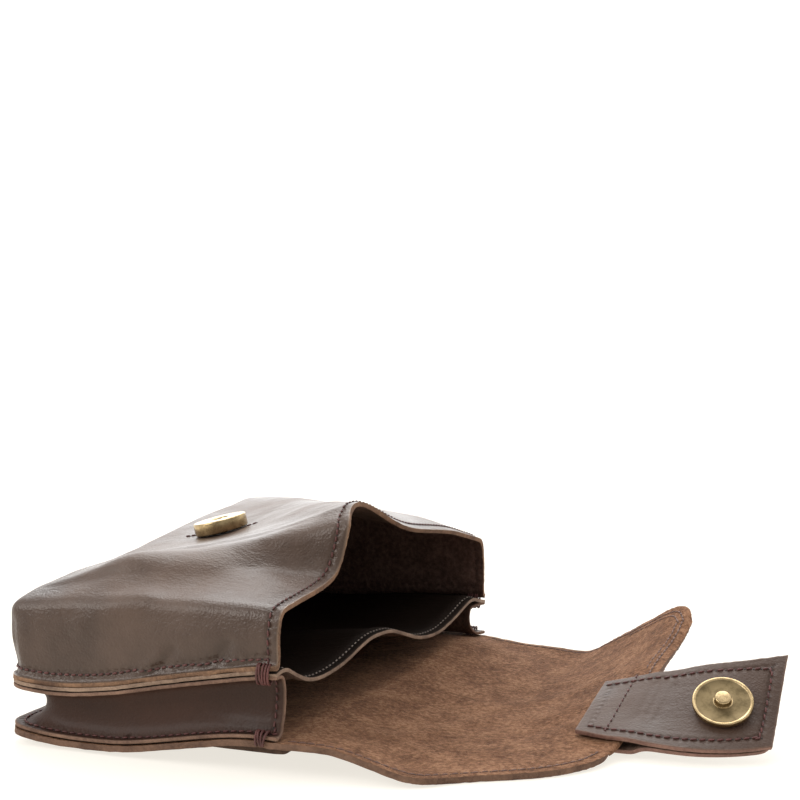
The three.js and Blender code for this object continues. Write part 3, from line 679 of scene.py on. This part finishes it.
# The noise that roughens the cut edges is the same in each run.
noise.seed_set(5)
back_sheet = softened(one_side("back_panel_flap", back_thickness, lambda face: face.normal.z), 2)
measured(back_sheet)
worked(
    back_sheet,
    ((0.035, 0.0007), (0.012, 0.00025)),
    (
        ((0.05, -0.03, 0), (0.066, -0.006, 0.01), 0.004, -0.0006),
        ((0.030, 0.000, 0), (0.058, 0.02, 0.01), 0.005, 0.0005),
        ((0.02, -0.05, 0), (0.036, -0.012, 0), 0.004, 0.0005),
        ((0.062, 0.052, 0.02), (0.072, 0.03, 0.02), 0.004, -0.0005),
    ),
    fray=0.0002,
)
for vert in back_sheet.verts:
    vert.co.z = max(vert.co.z, back_thickness)
flap_row = edge_row(back_sheet, flap_inset, flap_pitch, lambda at: at.x > mouth.x + 0.003)
seam_row = edge_row(back_sheet, flap_inset, flap_pitch, lambda at: at.x < mouth.x - 0.002)
wing_row = edge_row(
    back_sheet, 0.0056, flap_pitch, lambda at: at.x > mouth.x + 0.062 and at.y > 0.012
)
below_row = other_face(flap_row + wing_row + seam_row, back_thickness)
sewn("flap_stitches", flap_row, flap_stitch, 0.0007, brown_stitch, proud=0.1)
sewn("wing_stitches", wing_row, flap_stitch, 0.0006, brown_stitch, proud=0.1)
sewn("flap_stitches_below", below_row, flap_stitch, 0.0007, maroon_stitch, proud=-0.2)
in_leather(
    "back_and_flap",
    back_sheet,
    back_thickness,
    [flap_suede, outside_leather, flap_edge],
    "back_panel_flap",
)

# Belt loops: two straps of the smooth leather, folded back under the bag at both ends and sewn
# to the back panel. They lie flat on the floor, and their edges are left raw.
strap_thickness = 0.0014
strap_edge = raw_edge("strap cut edge", (0.05, 0.026, 0.017), (0.13, 0.075, 0.05))
inside_strap = suede(
    "inside of strap",
    dark=(0.06, 0.035, 0.025),
    middle=(0.09, 0.052, 0.036),
    light=(0.14, 0.085, 0.06),
    inset=0.003,
    pitch=0.0028,
    depth=0.5,
)


def on_the_floor(face):
    """How far a strap face looks down, in the strap's lowest 2 mm."""
    return -face.normal.z * (face.calc_center_median().z < 0.002)


for node in ("belt_loop_near", "belt_loop_far"):
    strap = softened(one_side(node, strap_thickness, on_the_floor), 2)
    measured(strap)
    worked(strap, ((0.012, 0.0001),), ())
    in_leather(
        node + "_strap",
        strap,
        strap_thickness,
        [outside_leather, inside_strap, strap_edge],
        node,
    )

# Gusset: one strip of smooth leather, 1.4 mm thick, that runs round three sides of the bag. It is
# folded inward like a bellows between its two seams, and its ends are left raw at the mouth. It
# is drawn 1.1 mm thick, so that the sewn layers stay apart.
gusset_thickness = 0.0014
gusset_drawn = 0.0011
gusset_pitch = 0.0026
gusset_leather = smooth_leather(
    "gusset leather",
    dark=(0.032, 0.0135, 0.0085),
    light=(0.066, 0.031, 0.021),
    worn=(0.17, 0.105, 0.07),
    roughness=0.62,
    inset=0.0025,
    pitch=gusset_pitch,
    crackle=0.2,
    shine=0.3,
)
gusset_edge = raw_edge("gusset cut edge", (0.085, 0.042, 0.027), (0.25, 0.145, 0.095))


def outward(face):
    """How far a gusset face looks out of the bag, at its two sides and its bottom end."""
    at = face.calc_center_median()
    if abs(at.y) > 0.07:
        return face.normal.y if at.y > 0 else -face.normal.y
    return -face.normal.x if at.x < -0.09 else 0


gusset_sheet = softened(one_side("gusset", gusset_thickness, outward), 2)
measured(gusset_sheet)
worked(gusset_sheet, ((0.03, 0.0005), (0.01, 0.00015)), ())
gusset_fold = 0.0125
lifted(gusset_sheet, 0.0013, lambda at: at.z > gusset_fold)
lower_row = edge_row(
    gusset_sheet, 0.0024, gusset_pitch, lambda at: at.z < gusset_fold and at.x < mouth.x - 0.001
)
end_row = edge_row(
    gusset_sheet, 0.0026, gusset_pitch, lambda at: at.x > mouth.x - 0.004 and abs(at.y) > 0.07
)
sewn("gusset_seam_stitches", lower_row, 0.0019, 0.0007, maroon_stitch)
sewn("gusset_end_stitches", end_row, 0.0019, 0.00065, maroon_stitch)
in_leather(
    "bellows_gusset",
    gusset_sheet,
    gusset_drawn,
    [gusset_leather, inside_strap, gusset_edge],
    "gusset",
)

# Divider: a dark sheet of leather, 1.4 mm thick and drawn 1.1 mm as the gusset is, that closes
# the back pocket off from the main one. Its free edge waves across the mouth, is left raw, and
# has a row of stitches just inside it.
divider_thickness = 0.0014
divider_drawn = 0.0011
divider_inset = 0.0024
divider_leather = smooth_leather(
    "divider leather",
    dark=(0.007, 0.0035, 0.002),
    light=(0.014, 0.0075, 0.005),
    worn=(0.08, 0.055, 0.04),
    roughness=0.8,
    inset=divider_inset,
    pitch=0.0026,
    crackle=0.3,
    shine=0.12,
)
divider_edge = raw_edge("divider cut edge", (0.13, 0.08, 0.055), (0.34, 0.23, 0.16))
# The divider's brown thread is drawn pale: its own colour lightened by painted highlight.
pale_thread_and_highlight = thread_finish("brown thread and painted highlight", (0.1, 0.075, 0.06), (0.3, 0.24, 0.2))
divider_sheet = softened(one_side("divider", divider_thickness, lambda face: face.normal.z), 2)
measured(divider_sheet)
worked(divider_sheet, ((0.03, 0.0004),), ())
lifted(divider_sheet, 0.0008, lambda at: at.x < mouth.x - 0.003)
lip_row = edge_row(divider_sheet, divider_inset, 0.0024, lambda at: at.x > mouth.x - 0.001)
sewn("divider_stitches", lip_row, 0.0015, 0.0006, [pale_thread_and_highlight, painted_hole_shade])
in_leather(
    "pocket_divider",
    divider_sheet,
    divider_drawn,
    [divider_leather, inside_strap, divider_edge],
    "divider",
)

# Front panel: one piece of waxed leather, 1.8 mm thick and drawn 1.4 mm for the same reason. It
# is moulded over the contents, with round rims, a ridge that falls from the mouth's peak, and a
# narrow flange that is sewn to the divider and gusset.
front_thickness = 0.0018
front_drawn = 0.0014
front_pitch = 0.0026
front_leather = smooth_leather(
    "front leather",
    dark=(0.04, 0.023, 0.0165),
    light=(0.1, 0.062, 0.045),
    worn=(0.2, 0.13, 0.085),
    roughness=0.4,
    inset=0.003,
    pitch=front_pitch,
    crackle=0.2,
)
front_inside = suede(
    "front inside",
    dark=(0.05, 0.027, 0.02),
    middle=(0.09, 0.05, 0.038),
    light=(0.14, 0.085, 0.066),
    inset=0.003,
    pitch=0.0028,
    depth=0.5,
)
front_edge = raw_edge("front cut edge", (0.08, 0.038, 0.021), (0.28, 0.155, 0.085))
front_sheet = softened(one_side("front_panel", front_thickness, lambda face: face.normal.z), 3)
measured(front_sheet)
worked(
    front_sheet,
    ((0.045, 0.001), (0.016, 0.0004), (0.006, 0.00009)),
    (
        ((-0.0905, -0.085, 0.018), (-0.091, -0.085, 0.036), 0.003, -0.0009),
        ((-0.041, -0.085, 0.024), (-0.034, -0.085, 0.033), 0.0016, -0.001),
        ((-0.046, -0.085, 0.024), (-0.038, -0.085, 0.031), 0.0016, 0.0008),
        ((-0.022, -0.085, 0.026), (-0.016, -0.085, 0.036), 0.0018, -0.0011),
        ((-0.018, -0.085, 0.026), (-0.011, -0.085, 0.033), 0.0016, 0.0008),
        ((-0.012, -0.085, 0.027), (-0.004, -0.085, 0.032), 0.0014, -0.0008),
        ((-0.07, -0.078, 0.045), (-0.035, -0.062, 0.054), 0.006, 0.0008),
        ((-0.065, -0.084, 0.038), (-0.045, -0.08, 0.045), 0.004, 0.0007),
        ((-0.055, -0.066, 0.053), (-0.02, -0.06, 0.051), 0.01, 0.0023),
        ((-0.06, -0.05, 0.056), (-0.012, -0.036, 0.066), 0.003, -0.0006),
        ((-0.05, -0.045, 0.058), (-0.004, -0.033, 0.069), 0.003, 0.0006),
    ),
)


def over(surface, x, y):
    """The place on top of a sheet at a point in plan, as seen from above, and its normal."""
    return surface.ray_cast(Vector((x, y, 0.2)), Vector((0, 0, -1)))[:2]


mouth_row = edge_row(front_sheet, 0.0032, front_pitch, lambda at: at.x > mouth.x - 0.002)
flange_row = edge_row(front_sheet, 0.002, 0.0024, lambda at: at.x < mouth.x - 0.003, up=0.0017)
sewn("mouth_stitches", mouth_row, 0.0019, 0.0007, maroon_stitch)
sewn("front_seam_stitches", flange_row, 0.0018, 0.0007, maroon_stitch)
front_top = BVHTree.FromBMesh(front_sheet)
patch_row = []
for side in (-1, 1):
    for step in range(2):
        away = side * (0.0106 + 0.0021 * step)
        place, normal = over(front_top, mouth.x - 0.0635 + away, -0.0002)
        patch_row.append((place, normal, Vector((1, 0, 0.4))))
sewn("snap_patch_stitches", patch_row, 0.0017, 0.00065, maroon_stitch)
in_leather(
    "front_pocket",
    front_sheet,
    front_drawn,
    [front_leather, front_inside, front_edge],
    "front_panel",
)

# Knots: at both ends of each side seam the thread is wound round the stacked edges a few times
# and pulled tight, so the raw edges are bound together beside the mouth.
def whipped(name, corners, loops, gauge):
    """Rings of thread round a stack of edges. Each corner gives a place, a height and a depth."""
    thread = bmesh.new()
    for number, (place, height, depth) in enumerate(corners):
        for loop in range(loops):
            ring = bmesh.ops.create_circle(thread, segments=8, radius=gauge / 2)
            section = [part for vert in ring["verts"] for part in (vert, *vert.link_edges)]
            bmesh.ops.translate(thread, verts=ring["verts"], vec=(1, 0, 0))
            bmesh.ops.spin(
                thread,
                geom=list(dict.fromkeys(section)),
                cent=(0, 0, 0),
                axis=(0, -1, 0),
                angle=2 * math.pi,
                steps=24,
                use_merge=True,
            )
            verts = {vert for face in thread.faces if not face.tag for vert in face.verts}
            wobble = Vector(noise.noise_vector(place * 300 + Vector((loop * 3.1, number, 0))))
            for vert in verts:
                core = Vector((vert.co.x, 0, vert.co.z)).normalized()
                tube = vert.co - core
                beside = core.z * wobble.x * 0.0011 + (loop - (loops - 1) / 2) * gauge * 1.25
                centre = Vector((beside, core.x * depth / 2, core.z * height / 2))
                thick = tube.dot(core)
                vert.co = place + centre + Vector((tube.y, core.x * thick, core.z * thick))
            for face in thread.faces:
                face.tag = True
    bmesh.ops.remove_doubles(thread, verts=thread.verts, dist=1e-6)
    bmesh.ops.recalc_face_normals(thread, faces=thread.faces)
    piece = bpy.data.objects.new(name, bpy.data.meshes.new(name))
    for face in thread.faces:
        face.smooth = True
    thread.to_mesh(piece.data)
    thread.free()
    piece.data.materials.append(maroon_thread)
    bpy.context.collection.objects.link(piece)
    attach(piece, "root")


front_tree, _ = edge_tree(*cut_line(front_sheet))
back_tree, _ = edge_tree(*cut_line(back_sheet))
upper_corners = []
lower_corners = []
for side in (-1, 1):
    outside = side * 0.0009
    corner = Vector((mouth.x - 0.0042, side * 0.0862, 0.02))
    edge = front_tree.find(corner)[0]
    upper_corners.append((Vector((corner.x, edge.y - outside, edge.z - 0.0022)), 0.0058, 0.0034))
    edge = back_tree.find(Vector((corner.x, corner.y, 0.008)))[0]
    place = Vector((corner.x - 0.001, edge.y - outside, edge.z + 0.0006))
    lower_corners.append((place, 0.0045, 0.0034))
whipped("upper_knots", upper_corners, loops=5, gauge=0.0007)
whipped("lower_knots", lower_corners, loops=4, gauge=0.0007)

# Closing tab: two leathers, 1.4 mm thick, smooth sides out, sewn together round their border with
# the flap's end between them at the base. The tab leans up on its far side.
tab_thickness = 0.0014
tab_inset = 0.0038
tab_pitch = 0.0028
tab_leather = smooth_leather(
    "tab leather",
    dark=(0.036, 0.0175, 0.0115),
    light=(0.064, 0.033, 0.0215),
    worn=(0.17, 0.1, 0.07),
    roughness=0.52,
    inset=tab_inset,
    pitch=tab_pitch,
    crackle=0.1,
)
tab_edge = raw_edge("tab cut edge", (0.13, 0.062, 0.045), (0.27, 0.15, 0.11))


def on_the_tab(at):
    """Where the border is sewn: all of it but the end that lies on the flap."""
    return at.x > mouth.x + 0.0715


tab_sheet = softened(one_side("tab_face", tab_thickness, lambda face: face.normal.z), 3)
measured(tab_sheet)
worked(
    tab_sheet,
    ((0.02, 0.0003),),
    (
        ((0.086, -0.02, 0.01), (0.087, -0.004, 0.018), 0.0012, -0.0003),
        ((0.089, -0.018, 0.01), (0.09, -0.002, 0.018), 0.0012, -0.0003),
        ((0.092, -0.02, 0.01), (0.0935, -0.006, 0.018), 0.0012, -0.0003),
    ),
)
tab_row = edge_row(tab_sheet, tab_inset, tab_pitch, on_the_tab)
tab_top = BVHTree.FromBMesh(tab_sheet)
cross_row = []
for step in range(12):
    share = step / 11
    place, normal = over(tab_top, mouth.x + 0.0788 + 0.001 * share, -0.0275 + 0.0308 * share)
    if place is not None:
        cross_row.append((place, normal, Vector((-0.03, 1, 0.3))))
sewn("tab_stitches", tab_row, 0.0021, 0.0007, maroon_stitch)
sewn("tab_cross_stitches", cross_row, 0.0018, 0.0006, maroon_stitch)
lining_sheet = softened(one_side("tab_back", tab_thickness, lambda face: -face.normal.z), 2)
measured(lining_sheet)
lining_row = edge_row(lining_sheet, tab_inset, tab_pitch, on_the_tab)
sewn("lining_stitches", lining_row, 0.0021, 0.0007, maroon_stitch)
for name, sheet, node in (
    ("tab_face_leather", tab_sheet, "tab_face"),
    ("tab_back_leather", lining_sheet, "tab_back"),
):
    in_leather(
        name, sheet, tab_thickness, [tab_leather, inside_strap, tab_edge], node
    )

# Magnetic snap: two turned brass halves, 18 mm across, with an antique finish. The socket on the
# front panel is a thick ring with a hole, and the half on the tab a dish with a short stud.
def brass(name, dark, light, roughness):
    """Antique brass: patches of dull brown patina, and brighter, smoother metal between them."""
    material, tree, shader = finish_of(name)
    place = node_in(tree, "ShaderNodeTexCoord", (-1000, 0))
    patina = node_in(tree, "ShaderNodeTexNoise", (-780, 120), Scale=260, Detail=5, Roughness=0.65)
    brushed = node_in(tree, "ShaderNodeMapping", (-900, -200))
    brushed.inputs["Scale"].default_value = (2600, 2600, 260)
    lines = node_in(tree, "ShaderNodeTexNoise", (-700, -200), Scale=1, Detail=2)
    both = node_in(tree, "ShaderNodeMix", (-520, 60))
    both.inputs[0].default_value = 0.1
    color = tones(tree, (-320, 120), (0.3, dark), (0.55, light))
    rough = node_in(tree, "ShaderNodeMapRange", (-320, -120))
    rough.inputs["To Min"].default_value = roughness + 0.08
    rough.inputs["To Max"].default_value = roughness - 0.08
    bump = node_in(tree, "ShaderNodeBump", (-240, -340), Strength=0.1, Distance=0.00005)
    joined(
        tree,
        (place.outputs["Object"], patina.inputs["Vector"]),
        (place.outputs["Object"], brushed.inputs["Vector"]),
        (brushed.outputs["Vector"], lines.inputs["Vector"]),
        (patina.outputs["Fac"], both.inputs[2]),
        (lines.outputs["Fac"], both.inputs[3]),
        (both.outputs[0], color.inputs["Fac"]),
        (color.outputs["Color"], shader.inputs["Base Color"]),
        (both.outputs[0], rough.inputs["Value"]),
        (rough.outputs["Result"], shader.inputs["Roughness"]),
        (lines.outputs["Fac"], bump.inputs["Height"]),
        (bump.outputs["Normal"], shader.inputs["Normal"]),
    )
    shader.inputs["Metallic"].default_value = 1
    return material


def turned_half(name, node, profile, materials, dull=(0, 0)):
    """A profile in millimetres turned round the axis of its solid, where the solid stands.

    Faces between the two radii of dull get the second material.
    """
    points = np.array([vert.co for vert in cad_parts[node].data.vertices])
    centre = points.mean(axis=0)
    _, directions = np.linalg.eigh(np.cov((points - centre).T))
    axis = Vector(directions[:, 0])
    axis = axis if axis.z > 0 else -axis
    reach = (points - centre) @ np.array(axis)
    flat = points - np.outer(reach, np.array(axis))
    middle = Vector((flat.max(axis=0) + flat.min(axis=0)) / 2)
    foot = middle + axis * float(reach.min())
    half = bmesh.new()
    line = [half.verts.new((r / 1000, 0, z / 1000)) for r, z in profile]
    edges = [half.edges.new(pair) for pair in zip(line, line[1:])]
    bmesh.ops.spin(
        half,
        geom=line + edges,
        cent=(0, 0, 0),
        axis=(0, 0, 1),
        angle=2 * math.pi,
        steps=72,
        use_merge=True,
    )
    bmesh.ops.remove_doubles(half, verts=half.verts, dist=1e-6)
    bmesh.ops.recalc_face_normals(half, faces=half.faces)
    for face in half.faces:
        face.material_index = int(dull[0] < face.calc_center_median().xy.length * 1000 < dull[1])
    stand = Matrix.Translation(foot) @ axis.to_track_quat("Z", "Y").to_matrix().to_4x4()
    bmesh.ops.transform(half, matrix=stand, verts=half.verts)
    piece = bpy.data.objects.new(name, bpy.data.meshes.new(name))
    for face in half.faces:
        face.smooth = True
    half.to_mesh(piece.data)
    half.free()
    piece.data.set_sharp_from_angle(angle=math.radians(40))
    for material in materials:
        piece.data.materials.append(material)
    bpy.context.collection.objects.link(piece)
    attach(piece, "root")
    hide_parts(node)


snap_brass = brass("antique brass", (0.2, 0.14, 0.068), (0.52, 0.39, 0.215), 0.26)
dull_brass = brass("dull brass", (0.09, 0.066, 0.033), (0.2, 0.15, 0.08), 0.52)
turned_half(
    "snap_socket_half",
    "snap_socket",
    (
        (0, 0), (8.6, 0), (8.9, 0.15), (9, 0.45), (9, 3.7), (8.92, 4.0), (8.7, 4.17), (8.4, 4.2),
        (3.6, 4.2), (3.2, 4.12), (2.85, 3.9), (2.7, 3.6), (2.7, 1.7), (2.5, 1.6), (0, 1.6),
    ),
    [snap_brass],
)
turned_half(
    "snap_stud_half",
    "snap_stud",
    (
        (0, 0), (8.7, 0), (8.95, 0.2), (9, 0.5), (9, 1.25), (8.9, 1.5), (8.65, 1.6), (8.25, 1.55),
        (7.95, 1.35), (7.6, 1.22), (5.2, 1.18), (2.9, 1.18), (2.6, 1.24), (2.5, 1.4), (2.5, 2.75),
        (2.4, 3.05), (2.15, 3.24), (1.8, 3.3), (0, 3.3),
    ),
    [snap_brass, dull_brass],
    dull=(2.8, 7.9),
)

# Floor and light: a pale floor 0.2 mm under the bag, and a studio that is brighter behind the
# bag than in front. Soft lamps stand above, behind and on the near side, so that the leather's
# upper faces shine and the floor stays white.
floor = bpy.data.objects.new("floor", bpy.data.meshes.new("floor"))
ground = bmesh.new()
under_bag = Matrix.Translation((0, 0, -0.0002))
bmesh.ops.create_grid(ground, x_segments=2, y_segments=2, size=6, matrix=under_bag)
ground.to_mesh(floor.data)
ground.free()
bpy.context.collection.objects.link(floor)
pale, _, pale_shader = finish_of("pale floor")
pale_shader.inputs["Base Color"].default_value = (0.3, 0.29, 0.27, 1)
pale_shader.inputs["Roughness"].default_value = 0.8
pale_shader.inputs["Emission Color"].default_value = (1, 0.955, 0.87, 1)
pale_shader.inputs["Emission Strength"].default_value = 0.78
floor.data.materials.append(pale)
world = bpy.data.worlds.new("studio")
bpy.context.scene.world = world
world.use_nodes = True
sky = world.node_tree
toward = node_in(sky, "ShaderNodeTexCoord", (-800, 0))
behind = node_in(sky, "ShaderNodeVectorMath", (-600, 0), operation="DOT_PRODUCT")
behind.inputs[1].default_value = (-0.36, 0.87, 0.33)
brighter = node_in(sky, "ShaderNodeMapRange", (-400, 0), interpolation_type="SMOOTHSTEP")
brighter.inputs["From Min"].default_value = -0.7
brighter.inputs["From Max"].default_value = 0.35
brighter.inputs["To Min"].default_value = 0.5
brighter.inputs["To Max"].default_value = 1.15
joined(
    sky,
    (toward.outputs["Generated"], behind.inputs[0]),
    (behind.outputs["Value"], brighter.inputs["Value"]),
    (brighter.outputs["Result"], sky.nodes["Background"].inputs["Strength"]),
)
sky.nodes["Background"].inputs["Color"].default_value = (1, 0.99, 0.975, 1)
for name, place, size, power in (
    ("top light", (-0.25, 0.7, 1.3), 1.2, 14),
    ("back light", (-0.55, 1.25, 0.5), 1.0, 5),
    ("near light", (-0.9, -0.9, 0.9), 0.7, 9),
):
    lamp = bpy.data.objects.new(name, bpy.data.lights.new(name, "AREA"))
    lamp.data.shape = "SQUARE"
    lamp.data.size = size
    lamp.data.energy = power
    lamp.location = place
    lamp.rotation_euler = (mouth - Vector(place)).to_track_quat("-Z", "Y").to_euler()
    bpy.context.collection.objects.link(lamp)
bpy.context.scene.view_settings.view_transform = "Standard"
